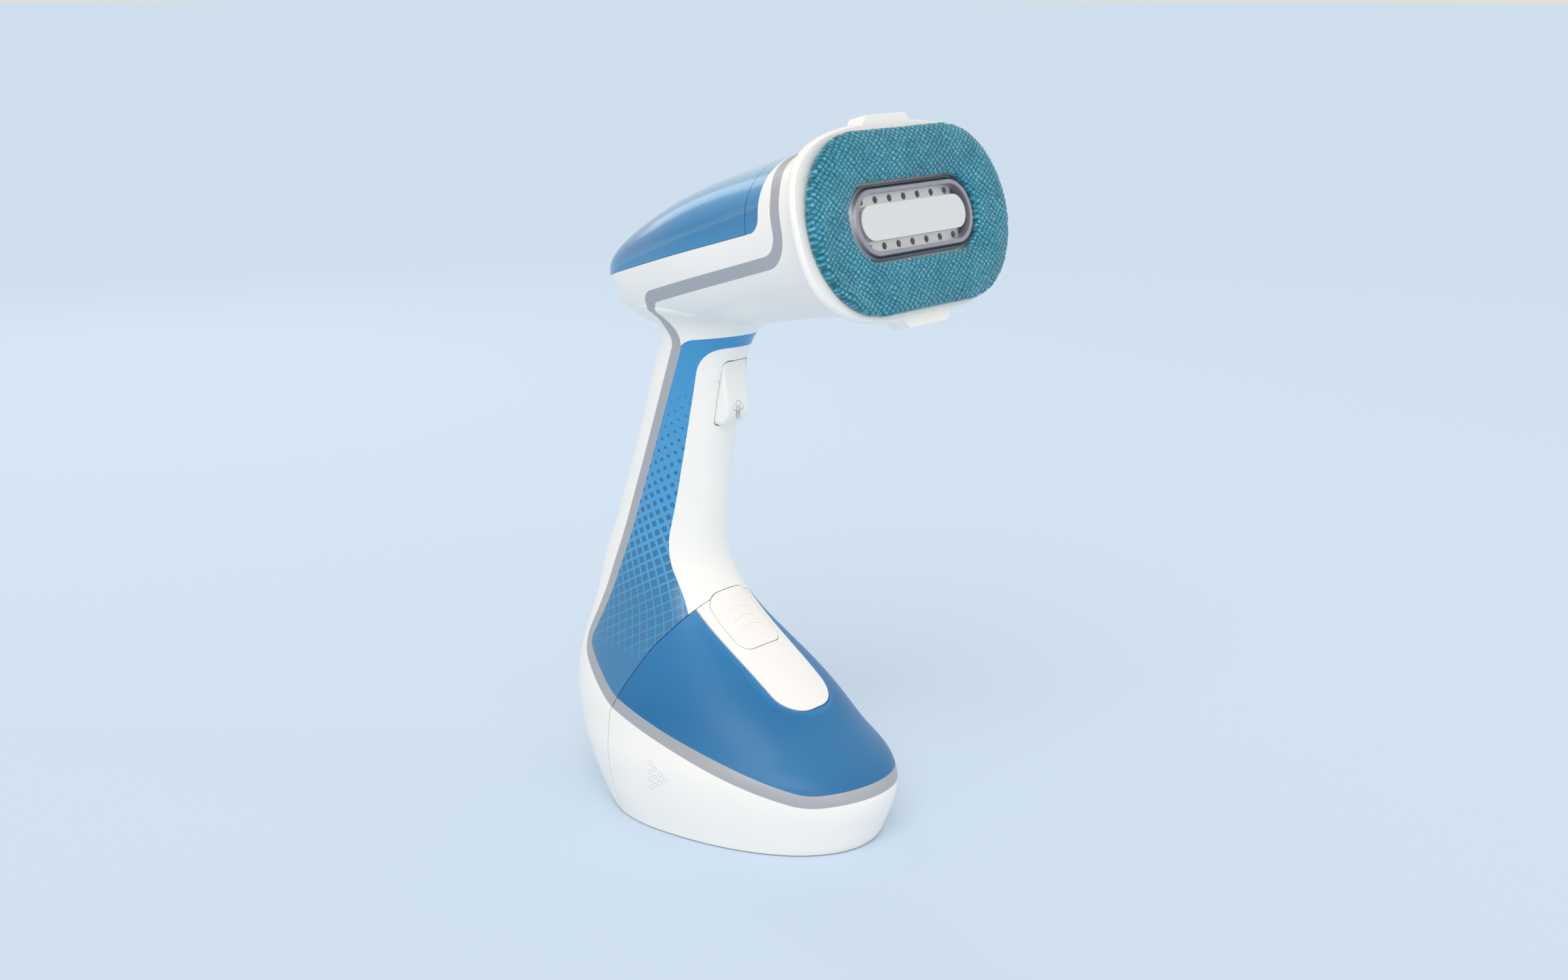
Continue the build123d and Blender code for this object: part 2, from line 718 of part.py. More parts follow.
with BuildPart() as steam_plate:
    add(slot_plate(outlet_length, outlet_height, ring_wall_back, 0))
    chamfer(steam_plate.faces().sort_by(Axis(outlet_point, nose))[-1].edges(), outlet_bevel)
    add(slot_plate(outlet_length + 8, outlet_height + 8, plate_back, ring_wall_back))
    add(slot_plate(pocket_length, pocket_height, -pocket_depth, 1), mode=Mode.SUBTRACT)
    add(slot_plate(pocket_length - 3, pocket_height - 3, plate_back - 1, -pocket_depth - 2.5),
        mode=Mode.SUBTRACT)
    with BuildSketch(head_face.offset(1)):
        with Locations((0, hole_row), (0, -hole_row)):
            with GridLocations(steam_hole_pitch, 1, steam_holes_per_row, 1):
                Circle(steam_hole_radius)
    extrude(amount=-20, mode=Mode.SUBTRACT)
save(steam_plate, "steam_plate")

with BuildPart() as deflector:
    add(slot_plate(island_length, island_height, -pocket_depth, -0.5))
save(deflector, "deflector")

with BuildPart() as plate_seal:
    add(slot_plate(outlet_length + 6, outlet_height + 6, seal_back, plate_back))
    add(slot_plate(pocket_length - 1, pocket_height - 1, seal_back - 1, plate_back + 1), mode=Mode.SUBTRACT)
save(plate_seal, "plate_seal")

heater_length = outlet_length + 3
heater_height = outlet_height + 4

with BuildPart() as heater_block:
    add(slot_plate(heater_length, heater_height, heater_back, seal_back))
    add(slot_plate(pocket_length - 1, pocket_height - 1, seal_back - chamber_depth, seal_back + 1),
        mode=Mode.SUBTRACT)
    add(rod(on_head(heater_back - nipple_length, heater_inlet_up), on_head(heater_back, heater_inlet_up),
            tube_radius))
    add(rod(on_head(heater_back - nipple_length - 1, heater_inlet_up),
            on_head(seal_back - chamber_depth, heater_inlet_up), tube_bore - 0.5), mode=Mode.SUBTRACT)
save(heater_block, "heater_block")

element_radius = 3.2
element_half = 26.0
element_rise = 8.0

with BuildPart() as heating_element:
    add(rod(on_head(heater_back - element_radius, element_rise, -element_half),
            on_head(heater_back - element_radius, element_rise, element_half), element_radius))
save(heating_element, "heating_element")

block_top = heater_height / 2
with BuildPart() as thermostat:
    add(rod(on_head(-36, block_top, -13), on_head(-36, block_top + 6, -13), 8))
save(thermostat, "thermostat")

with BuildPart() as thermal_fuse:
    add(rod(on_head(-30, block_top + 2.5, 6), on_head(-30, block_top + 2.5, 22), 2.5))
save(thermal_fuse, "thermal_fuse")

heater_leg = 3.0
with BuildPart() as heater_bracket:
    add(slot_plate(heater_length + 2 * heater_leg, heater_height + 2 * heater_leg, heater_back + 4,
                   head_front - wall))
    add(slot_plate(heater_length, heater_height, heater_back, 0), mode=Mode.SUBTRACT)
    add(head_block(heater_back - 5, 0, 0, 60, 25), mode=Mode.SUBTRACT)
    add(head_hollow, mode=Mode.INTERSECT)
save(heater_bracket, "heater_bracket")

# ---------------------------------------------------------------- purifying capsule and its tray
tray_back, tray_front = -146.0, -62.0
tray_low = -2.0
tray_half = 17.0
tray_wall = 1.6
capsule_half = 15.0

with BuildPart() as capsule_tray:
    add(head_block(tray_back, tray_front, tray_low, cover_edge - 1, tray_half))
    add(head_block(tray_back + tray_wall, tray_front - tray_wall, tray_low + tray_wall, 60,
                   tray_half - tray_wall), mode=Mode.SUBTRACT)
save(capsule_tray, "capsule_tray")

with BuildPart() as tray_arms:
    add(head_hollow)
    add(head_block(-100, -88, tray_low, tray_low + tray_wall, reach), mode=Mode.INTERSECT)
    add(head_block(-200, 0, -60, 60, tray_half), mode=Mode.SUBTRACT)
save(tray_arms, "tray_arms")

with BuildPart() as purifying_capsule:
    add(head_block(tray_back + 14, tray_front - 12, tray_low + tray_wall, 15, capsule_half))
    fillet(purifying_capsule.edges(), 2.5)
save(purifying_capsule, "purifying_capsule")

# ---------------------------------------------------------------- switch and electronics
bracket_front = -30.5
with BuildPart() as switch_bracket:
    add(handle_hollow)
    add(level_block(bracket_front - 1.6, bracket_front, reach, 190, 216), mode=Mode.INTERSECT)
save(switch_bracket, "switch_bracket")

with BuildPart() as microswitch:
    add(level_block(bracket_front, bracket_front + 4.3, 6.5, 195, 205))
    add(rod((bracket_front, 0, 200), (bracket_front + 5.2, 0, 200), 1.2))
save(microswitch, "microswitch")

spring_turns = 4
spring_radius = 2.0
spring_wire = 0.3
spring_height = 210.0
spring_length = trigger_back - bracket_front - 2 * spring_wire

with BuildPart() as trigger_spring:
    with BuildLine() as coil:
        Helix(spring_length / spring_turns, spring_length, spring_radius,
              center=(bracket_front + spring_wire, 0, spring_height), direction=(1, 0, 0))
    with BuildSketch(Plane(origin=coil.line @ 0, z_dir=coil.line % 0)):
        Circle(spring_wire)
    sweep(is_frenet=True)
save(trigger_spring, "trigger_spring")

latch_spring_foot = slope.from_local_coords((latch_top + 7, 0, -latch_thickness - latch_stroke + spring_wire))
latch_spring_length = latch_stroke - 2 * spring_wire
latch_spring_turns = 2.5

with BuildPart() as latch_spring:
    with BuildLine() as coil:
        Helix(latch_spring_length / latch_spring_turns, latch_spring_length, spring_radius,
              center=latch_spring_foot, direction=slope.z_dir)
    with BuildSketch(Plane(origin=coil.line @ 0, z_dir=coil.line % 0)):
        Circle(spring_wire)
    sweep(is_frenet=True)
save(latch_spring, "latch_spring")

board_plane = Plane(origin=(-57.3, 0, 193), x_dir=(0, 1, 0), z_dir=(-0.957, 0, 0.29))
board_width, board_length, board_thickness = 15.0, 30.0, 1.6
with BuildPart() as control_board:
    with BuildSketch(board_plane):
        Rectangle(board_width, board_length)
    extrude(amount=board_thickness)
save(control_board, "control_board")

# ---------------------------------------------------------------- pad frame and textile pad
frame_back = head_front + seam
frame_front = -4.9
tab_half_wide, tab_half_narrow = 24.0, 14.0
tab_reach = 46.0
frame_sections = [
    (frame_back, -36, 1, 38, head_half + 5, 0.70),
    (-12, -41, 0, 42, 68, 0.73),
    (-6.5, -frame_height / 2, 0, frame_height / 2, frame_length / 2, 0.757),
    (frame_front, -frame_height / 2 + 0.8, 0, frame_height / 2 - 0.8, frame_length / 2 - 1, 0.757),
]

with BuildPart() as pad_frame:
    add(head_loft(frame_sections, 0, frame_front))
    with BuildSketch(head_face.offset(-14)):
        for side in (1, -1):
            with BuildLine():
                Polyline((-tab_half_wide, side * 36), (-tab_half_narrow, side * tab_reach),
                         (tab_half_narrow, side * tab_reach), (tab_half_wide, side * 36),
                         (-tab_half_wide, side * 36))
            make_face()
    extrude(amount=frame_front + 14)
    add(slot_plate(collar_length + 2 * slide_gap, collar_height + 2 * slide_gap, -30, ring_wall_front + slide_gap),
        mode=Mode.SUBTRACT)
    add(slot_plate(outlet_length + 2 * seam, outlet_height + 2 * seam, -30, 5), mode=Mode.SUBTRACT)
save(pad_frame, "pad_frame")

with BuildPart() as steam_pad:
    add(slot_plate(pad_length, pad_height, frame_front, frame_front + pad_thickness))
    add(slot_plate(outlet_length + 2 * seam, outlet_height + 2 * seam, -30, 5), mode=Mode.SUBTRACT)
    fillet(steam_pad.faces().sort_by(Axis(outlet_point, nose))[-1].outer_wire().edges(), 2.5)
save(steam_pad, "steam_pad")
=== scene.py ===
# %% [markdown]
# # A handheld garment steamer
# The imported model gives every hard piece of the steamer: shells, windows, tank, trigger, latch, steam plate.
# Here each of them gets a finish, the textile pad is made as real fabric, and the small marks are added.
# The frame is loaded first. The finished model has to stay inside it.

# %% Load the frame
from math import cos, pi, radians, sin

import bpy
import numpy as np
from mathutils import Matrix, Vector, noise


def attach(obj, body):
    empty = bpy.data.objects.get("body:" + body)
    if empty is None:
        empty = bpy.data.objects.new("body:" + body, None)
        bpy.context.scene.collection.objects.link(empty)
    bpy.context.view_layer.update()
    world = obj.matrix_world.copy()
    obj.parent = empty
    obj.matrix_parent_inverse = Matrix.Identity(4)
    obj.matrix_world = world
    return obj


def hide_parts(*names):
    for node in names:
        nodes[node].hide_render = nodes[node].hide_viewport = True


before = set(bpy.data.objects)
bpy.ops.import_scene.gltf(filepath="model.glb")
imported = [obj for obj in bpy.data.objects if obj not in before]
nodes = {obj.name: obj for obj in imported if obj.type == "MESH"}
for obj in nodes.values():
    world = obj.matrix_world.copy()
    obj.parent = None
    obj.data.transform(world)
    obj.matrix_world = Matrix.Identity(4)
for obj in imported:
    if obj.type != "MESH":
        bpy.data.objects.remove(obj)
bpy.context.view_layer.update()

# %% [markdown]
# ## Lengths and the frame of the head
# Blender works in metres and the steamer is described in millimetres, so one factor turns one into the other.
# The head is tilted, so its pieces are made flat, in a frame of their own, and then placed by one matrix:
# its x runs sideways, its y up the head, and its z out along the nose.

# %% Units and head frame
MM = 0.001
HEAD_TILT = radians(15.6)
NOSE = Vector((cos(HEAD_TILT), 0, sin(HEAD_TILT)))
CROWN = Vector((-sin(HEAD_TILT), 0, cos(HEAD_TILT)))
OUTLET = Vector((91.0, 0.0, 298.0)) * MM
HEAD = Matrix.Translation(OUTLET) @ Matrix((
    (0, CROWN.x, NOSE.x, 0), (1, 0, 0, 0), (0, CROWN.z, NOSE.z, 0), (0, 0, 0, 1)))
print("steam outlet at", tuple(round(c / MM, 1) for c in OUTLET), "mm")

# %% [markdown]
# ## Arithmetic with sockets
# A pattern such as a printed lattice is a formula. Wiring it by hand takes dozens of nodes, so a small class
# wraps a socket, and plus, minus, times and divide on it add the Math nodes.

# %% A value in a material
class Value:
    """A number that varies over a surface. Arithmetic on it adds Math nodes."""

    def __init__(self, tree, socket):
        self.tree, self.socket = tree, socket

    def math(self, operation, *others):
        node = self.tree.nodes.new("ShaderNodeMath")
        node.operation = operation
        for place, item in enumerate((self, *others)):
            if isinstance(item, Value):
                self.tree.links.new(item.socket, node.inputs[place])
            else:
                node.inputs[place].default_value = item
        return Value(self.tree, node.outputs[0])

    def __add__(self, other):
        return self.math("ADD", other)

    def __sub__(self, other):
        return self.math("SUBTRACT", other)

    def __rsub__(self, other):
        return (self * -1.0).math("ADD", other)

    def __mul__(self, other):
        return self.math("MULTIPLY", other)

    def __truediv__(self, other):
        return self.math("DIVIDE", other)

    def below(self, limit, soft):
        """1 where this is under the limit, 0 over it, with an edge of the given softness."""
        return ((self * -1.0 + limit) / soft + 0.5).clamped()

    def clamped(self):
        return self.math("MAXIMUM", 0.0).math("MINIMUM", 1.0)

    __radd__ = __add__
    __rmul__ = __mul__


print("value class ready")

# %% [markdown]
# ## One finish at a time
# A finish starts as one Principled shader. Numbers that are the same all over are set on its sockets, and
# only what changes over the surface is linked: colour, roughness, and the normal through a bump.

# %% A finish
class Finish:
    """A material with one Principled shader, and a short way to add nodes to it."""

    def __init__(self, name, **constants):
        self.material = bpy.data.materials.new(name)
        self.material.use_nodes = True
        self.tree = self.material.node_tree
        self.shader = self.tree.nodes["Principled BSDF"]
        for socket, value in constants.items():
            self.shader.inputs[socket.replace("_", " ")].default_value = value

    def node(self, kind, settings=None, sockets=None, output=0):
        made = self.tree.nodes.new("ShaderNode" + kind)
        for key, value in (settings or {}).items():
            if key == "stops":
                while len(made.color_ramp.elements) < len(value):
                    made.color_ramp.elements.new(0.5)
                for element, (place, colour) in zip(made.color_ramp.elements, value):
                    element.position, element.color = place, (*colour, 1)
            else:
                setattr(made, key, value)
        for key, value in (sockets or {}).items():
            if isinstance(value, Value):
                self.tree.links.new(value.socket, made.inputs[key])
            else:
                made.inputs[key].default_value = value
        return Value(self.tree, made.outputs[output])

    def place(self):
        return self.node("TexCoord", output="Object")

    def axes(self, vector=None):
        parts = self.node("SeparateXYZ", sockets={0: vector or self.place()})
        return [Value(self.tree, parts.socket.node.outputs[k]) for k in range(3)]

    def noise(self, scale, detail=2.0, vector=None):
        return self.node("TexNoise", sockets={
            "Vector": vector or self.place(), "Scale": scale, "Detail": detail})

    def mix(self, share, one, other):
        return self.node("Mix", {"data_type": "RGBA"}, {0: share, 6: one, 7: other}, output=2)

    def ramp(self, value, *stops):
        return self.node("ValToRGB", {"stops": stops}, {0: value})

    def bump(self, height, distance, strength=1.0):
        return self.node("Bump", sockets={"Height": height, "Distance": distance, "Strength": strength})

    def feed(self, **links):
        for socket, value in links.items():
            self.tree.links.new(value.socket, self.shader.inputs[socket.replace("_", " ")])
        return self


def linear(red, green, blue):
    """Screen colour, 0 to 255, as the light that a shader works in."""
    def one(value):
        value = value / 255
        return value / 12.92 if value <= 0.04045 else ((value + 0.055) / 1.055) ** 2.4
    return (one(red), one(green), one(blue))


def rgba(red, green, blue):
    return (*linear(red, green, blue), 1.0)


print("finish class ready; white is", [round(c, 3) for c in linear(244, 244, 244)])

# %% [markdown]
# ## Moulded plastics
# The white shells are satin: a fine spark-eroded grain that breaks the gloss up, with very slight unevenness
# in shade. The same recipe, with other numbers, makes the rubber feet and the plain plastics inside.

# %% Satin plastics
def moulded(name, tone, uneven, roughness, grain, grain_depth, **constants):
    """Plastic or rubber with an even colour, a fine grain and a slightly uneven gloss."""
    finish = Finish(name, **constants)
    cloud = finish.noise(45.0, 3.0)
    fine = finish.noise(grain, 2.0)
    darker = tuple(c * (1 - uneven) for c in tone[:3]) + (1.0,)
    finish.feed(
        Base_Color=finish.mix(cloud, darker, tone),
        Roughness=cloud * 0.08 + (roughness - 0.04),
        Normal=finish.bump(fine, grain_depth),
    )
    return finish.material


white_plastic = moulded("white_satin_plastic", rgba(255, 250, 243), 0.03, 0.36, 2600.0, 0.00002,
                        Coat_Weight=0.15, Coat_Roughness=0.25, Subsurface_Weight=0.05, Subsurface_Scale=0.002)
inner_plastic = moulded("inner_white_plastic", rgba(222, 226, 230), 0.06, 0.5, 1800.0, 0.00003)
rubber = moulded("grey_rubber", rgba(92, 95, 99), 0.15, 0.8, 1500.0, 0.00006)
pump_plastic = moulded("pump_black_plastic", rgba(44, 46, 50), 0.15, 0.45, 1800.0, 0.00004)
switch_plastic = moulded("switch_black_plastic", rgba(30, 31, 34), 0.1, 0.35, 1800.0, 0.00002)
seal_silicone = moulded("red_seal_silicone", rgba(176, 74, 58), 0.1, 0.6, 1500.0, 0.00004)
print("plastics", white_plastic.name, inner_plastic.name, rubber.name)

# %% [markdown]
# ## Metals
# The silver trim is paint with fine metal flake, so it is only partly metallic. The steam plate is cast
# aluminium, ground flat: brush lines come from noise that is stretched along the nozzle's width.

# %% Metals
def brushed(name, tone, dull, metallic, roughness, stretch, depth, **constants):
    """Metal with fine lines across Y, a slightly uneven tone and an uneven gloss."""
    finish = Finish(name, Metallic=metallic, **constants)
    lines = finish.node("Mapping", sockets={"Vector": finish.place(), "Scale": stretch})
    scratch = finish.noise(1.0, 4.0, lines)
    cloud = finish.noise(60.0, 3.0)
    darker = tuple(c * (1 - dull) for c in tone[:3]) + (1.0,)
    finish.feed(
        Base_Color=finish.mix(scratch * 0.6 + cloud * 0.4, darker, tone),
        Roughness=scratch * 0.12 + (roughness - 0.06),
        Normal=finish.bump(scratch, depth),
    )
    return finish.material


FINE = (3000.0, 3000.0, 3000.0)
ALONG_Y = (2600.0, 90.0, 2600.0)
silver_paint = brushed("silver_flake_paint", rgba(186, 187, 190), 0.12, 0.35, 0.42, FINE, 0.00001)
island_metal = brushed("deflector_metal", rgba(236, 236, 236), 0.06, 0.45, 0.36, ALONG_Y, 0.000006)
cast_metal = brushed("cast_aluminium", rgba(150, 152, 156), 0.3, 0.9, 0.5, FINE, 0.00006)
steel = brushed("bare_steel", rgba(170, 172, 176), 0.2, 1.0, 0.3, FINE, 0.00001)
print("metals", silver_paint.name, island_metal.name, steel.name)

# %% [markdown]
# The steam plate shows four zones: a thin bright lip, a line of painted shade where the bevel turns away,
# strongest on the top and bottom of the slot, a broad grey face, and the sunk floor, polished bright where the
# steam holes are. All of them follow the slot outline, so the finish works out how far each point lies from
# that outline, and how deep it is.

# %% Steam plate finish
SLOT_STRAIGHT = 28.65 * MM      # half of the straight run of the slot outline
SLOT_ROUND = 16.15 * MM         # radius of its round ends, and half of its height
BEVEL_SHADE_OUT, BEVEL_SHADE_IN = 0.9 * MM, 2.0 * MM
FLOOR_DEPTH = -4.2 * MM
HOLE_ROW_END = 35.0 * MM

plate = Finish("steam_plate_metal", Metallic=0.55)
plate_x, plate_y, plate_z = plate.axes()
depth = (plate_x - OUTLET.x) * NOSE.x + (plate_z - OUTLET.z) * NOSE.z
plate_up = (plate_x - OUTLET.x) * CROWN.x + (plate_z - OUTLET.z) * CROWN.z
past_end = (plate_y.math("ABSOLUTE") - SLOT_STRAIGHT).math("MAXIMUM", 0.0)
from_edge = (past_end * past_end + plate_up * plate_up).math("SQRT") * -1.0 + SLOT_ROUND
upright = (plate_up.math("ABSOLUTE") / SLOT_ROUND).clamped()
inside_line = from_edge.below(BEVEL_SHADE_IN, 0.0005)
# painted shade: a dark line just inside the slot's edge, on the top and bottom of the bevel
painted_bevel_shade = inside_line * (1 - from_edge.below(BEVEL_SHADE_OUT, 0.0003)) * upright
sunk = depth.below(FLOOR_DEPTH, 0.0003)
row_part = plate_y.math("ABSOLUTE").below(HOLE_ROW_END, 0.001)
brush_lines = plate.node("Mapping", sockets={"Vector": plate.place(), "Scale": ALONG_Y})
brush = plate.noise(1.0, 4.0, brush_lines)
face_tone = plate.mix(brush, rgba(150, 149, 158), rgba(176, 175, 184))
with_painted_bevel_shade = plate.mix(painted_bevel_shade, face_tone, rgba(34, 30, 36))
floor_tone = plate.mix(row_part, rgba(122, 122, 130), rgba(226, 226, 226))
plate.feed(Base_Color=plate.mix(sunk, with_painted_bevel_shade, floor_tone), Roughness=brush * 0.12 + 0.30)
plate_metal = plate.material
print("steam plate", plate_metal.name)

# %% [markdown]
# ## The see-through blues
# The handle window is a tinted plastic shell, printed on the inside with a lattice of diamonds. They grow
# from fine dots near the trigger to full cells lower down, where only thin lines are left between them, and
# the print stops in steps. The lattice is worked out in the side view, turned to run along the handle.

# %% Handle window with its printed lattice
LATTICE_TILT = radians(-18.0)
CELL_WIDE, CELL_TALL = 6.0 * MM, 6.4 * MM
DOTS_START, CELLS_FULL = 0.218, 0.105
LINES_END = 0.083
WINDOW_TOP = 0.24

window = Finish("handle_window_tint", Coat_Weight=0.25, Coat_Roughness=0.1, IOR=1.4,
                Subsurface_Weight=0.15, Subsurface_Scale=0.004)
turned = window.node("Mapping", {"vector_type": "POINT"},
                     {"Vector": window.place(), "Rotation": (0, LATTICE_TILT, 0)})
turned_x, _, turned_z = window.axes(turned)
across, along = turned_x / CELL_WIDE, turned_z / CELL_TALL
_, _, height = window.axes()


def off_centre(value):
    """Distance from the middle of a cell, 0 in the middle and 0.5 at its edge."""
    return (value.math("FRACT") - 0.5).math("ABSOLUTE")


falling, rising = off_centre(across + along), off_centre(across - along)
from_middle = falling.math("MAXIMUM", rising)
growth = ((height * -1.0 + DOTS_START) / (DOTS_START - CELLS_FULL)).clamped()
cell_size = growth * 0.40 + 0.03
printed = from_middle.below(cell_size, 0.05) * height.below(DOTS_START, 0.002)
stepped = height + (off_centre(across + along) - 0.25) * 0.006
in_print = 1 - stepped.below(LINES_END, 0.0006)
print("lattice cell", CELL_WIDE, CELL_TALL)

# %% Colours of the handle window
clear_blue = window.ramp(height / WINDOW_TOP, (0.30, linear(58, 140, 190)),
                         (0.55, linear(78, 164, 216)), (0.95, linear(66, 150, 204)))
ink = window.ramp(growth, (0.0, linear(50, 100, 140)), (1.0, linear(66, 124, 164)))
low_tint = rgba(64, 128, 172)
inked = window.mix(printed, clear_blue, ink)
shade = window.noise(30.0, 2.0)
window.feed(Base_Color=window.mix(in_print, low_tint, inked),
            Roughness=shade * 0.1 + 0.22)
print("handle window", window.material.name)

# %% [markdown]
# ## Capsule cover and tank
# The cover over the purifying capsule is clear blue at its foot and painted paler along the crown, a painted
# highlight where the top takes the light, with one soft crease along its side, bumped and drawn with a painted
# highlight line. The tank is deeper and frosted, with a painted highlight on its lower front and painted light
# round its white strip.

# %% Capsule cover
CREASE_BACK, CREASE_SLOPE, CREASE_HEIGHT = -97.0 * MM, 0.071, 15.0 * MM
CREASE_SOFT = 0.6 * MM
COVER_FOOT, COVER_RISE = 7.4 * MM, 31.1 * MM

cover = Finish("capsule_cover_tint", Coat_Weight=0.4, Coat_Roughness=0.08, IOR=1.42,
               Subsurface_Weight=0.1, Subsurface_Scale=0.004)
cover_x, _, cover_z = cover.axes()
up_head = (cover_x - OUTLET.x) * CROWN.x + (cover_z - OUTLET.z) * CROWN.z
along_head = (cover_x - OUTLET.x) * NOSE.x + (cover_z - OUTLET.z) * NOSE.z
crease_line = (along_head - CREASE_BACK) * CREASE_SLOPE + CREASE_HEIGHT
over_crease = (up_head - crease_line) / CREASE_SOFT
rise = ((up_head - COVER_FOOT) / COVER_RISE).clamped()
# painted highlight: the cover's colour grows pale towards its crown, where the top takes the light
tint = cover.ramp(rise, (0.0, linear(62, 140, 188)), (0.30, linear(44, 122, 172)),
                  (0.55, linear(58, 140, 190)), (0.8, linear(110, 174, 214)),
                  (1.0, linear(176, 212, 236)))
# painted highlight: a lighter line painted along the crease, beside its bump
painted_crease_highlight = (1 - (over_crease * 0.35).math("ABSOLUTE").clamped()) * 0.22
cover_cloud = cover.noise(60.0, 2.0)
cover.feed(Base_Color=cover.mix(painted_crease_highlight, tint, rgba(150, 195, 224)),
           Roughness=cover_cloud * 0.08 + 0.16,
           Normal=cover.bump(over_crease.clamped(), 0.0004))
print("capsule cover", cover.material.name)

# %% Tank
TANK_FOOT, TANK_RISE = 30.0 * MM, 70.0 * MM
STRIP_TOP_X, STRIP_TOP_Z = -5.5 * MM, 98.5 * MM     # the white strip runs down from here at 45 degrees
STRIP_RUN, STRIP_HALO, HALO_SOFT = 38.5 * MM, 21.5 * MM, 3.0 * MM
# zone of the painted highlight on the tank's lower front
HIGHLIGHT_MIDDLE, HIGHLIGHT_REACH, HIGHLIGHT_TOP, HIGHLIGHT_SOFT = 30.0 * MM, 34.0 * MM, 55.0 * MM, 30.0 * MM

tank = Finish("tank_frosted_tint", Coat_Weight=0.1, Coat_Roughness=0.25, IOR=1.36,
              Subsurface_Weight=0.2, Subsurface_Scale=0.006)
tank_x, tank_y, tank_z = tank.axes()
tank_rise = ((tank_z - TANK_FOOT) / TANK_RISE).clamped()
frost = tank.noise(2200.0, 2.0)
tank_tint = tank.ramp(tank_rise, (0.0, linear(44, 114, 162)), (0.45, linear(38, 116, 168)),
                      (1.0, linear(50, 132, 186)))
# painted light: the tank is painted lighter blue round the lower end of the white strip
down_slope = (tank_x - STRIP_TOP_X - tank_z + STRIP_TOP_Z) * cos(pi / 4)
past_tip = (down_slope - STRIP_RUN).math("MAXIMUM", 0.0)
from_strip = (past_tip * past_tip + tank_y * tank_y).math("SQRT")
painted_strip_light = from_strip.below(STRIP_HALO, HALO_SOFT) * 0.55
# painted highlight: the lower front of the tank is painted lighter blue
in_painted_highlight = (tank_x - HIGHLIGHT_MIDDLE).math("ABSOLUTE").below(HIGHLIGHT_REACH, HIGHLIGHT_SOFT)
painted_front_highlight = in_painted_highlight * tank_z.below(HIGHLIGHT_TOP, HIGHLIGHT_SOFT) * 0.35
tint_with_painted_highlight = tank.mix(painted_front_highlight, tank_tint, rgba(84, 154, 200))
lit_tint = tank.mix(painted_strip_light, tint_with_painted_highlight, rgba(66, 150, 208))
tank.feed(Base_Color=tank.mix(frost * 0.35, lit_tint, rgba(26, 88, 138)),
          Roughness=frost * 0.14 + 0.34,
          Normal=tank.bump(frost, 0.00003))
print("tank", tank.material.name)

# %% [markdown]
# ## What is inside
# These show only when a cover is open or the tank is off, but each still has a finish of its own.

# %% Inside finishes
hose_silicone = moulded("clear_hose_silicone", rgba(216, 222, 224), 0.08, 0.3, 800.0, 0.00003,
                        Transmission_Weight=0.4)
board = moulded("green_circuit_board", rgba(34, 108, 66), 0.25, 0.4, 900.0, 0.00005, Coat_Weight=0.3)
felt = moulded("capsule_felt", rgba(232, 226, 206), 0.18, 0.9, 900.0, 0.0004, Sheen_Weight=0.4)
print("inside", hose_silicone.name, board.name, felt.name)

# %% Give every node its finish
FINISHES = {
    "white_shell": white_plastic, "silver_trim": silver_paint, "window_blue": window.material,
    "tank_blue": tank.material, "cover_blue": cover.material, "plate_metal": plate_metal,
    "deflector_metal": island_metal, "cast_aluminium": cast_metal, "bare_steel": steel,
    "rubber_grey": rubber, "seal_silicone": seal_silicone, "hose_silicone": hose_silicone,
    "inner_plastic": inner_plastic, "pump_body": pump_plastic, "switch_body": switch_plastic,
    "board_green": board, "capsule_felt": felt,
}
for name, piece in nodes.items():
    packed_slot = piece.data.materials[0].name.split(".")[0]
    piece.data.materials.clear()
    piece.data.materials.append(FINISHES.get(packed_slot, white_plastic))
    if packed_slot not in FINISHES:
        print(name, "has the slot", packed_slot, "and gets its real finish further on")
print("finishes given to", len(nodes), "nodes")

# %% [markdown]
# ## The textile pad
# The pad is a ring of looped microfibre round the steam outlet. It is made as a flat slot-shaped ring from
# two outlines, given its thickness, and then swollen a little as cloth, so that it is full in the middle and
# drawn in at both edges. The loops come after the swelling, as a fine diagonal relief.

# %% Tools for shaping
def only(piece):
    """Deselect everything, then select one piece and make it active."""
    if bpy.context.mode != "OBJECT":
        bpy.ops.object.mode_set(mode="OBJECT")
    bpy.ops.object.select_all(action="DESELECT")
    piece.select_set(True)
    bpy.context.view_layer.objects.active = piece
    return piece


def slot_outline(length, height, points, level):
    """Slot-shaped loop of edges: a circle whose two halves are drawn apart."""
    bpy.ops.object.select_all(action="DESELECT")
    bpy.ops.mesh.primitive_circle_add(vertices=points, radius=height / 2, location=(0, 0, level))
    loop = bpy.context.active_object
    bpy.ops.object.transform_apply(location=True, rotation=True, scale=True)
    spread = (length - height) / 2
    for vertex in loop.data.vertices:
        if abs(vertex.co.x) > 1e-6:
            vertex.co.x += spread if vertex.co.x > 0 else -spread
    return loop


def joined(*parts):
    """One piece from several."""
    bpy.ops.object.select_all(action="DESELECT")
    for part in parts:
        part.select_set(True)
    bpy.context.view_layer.objects.active = parts[0]
    bpy.ops.object.join()
    return bpy.context.active_object


print("shaping tools ready")

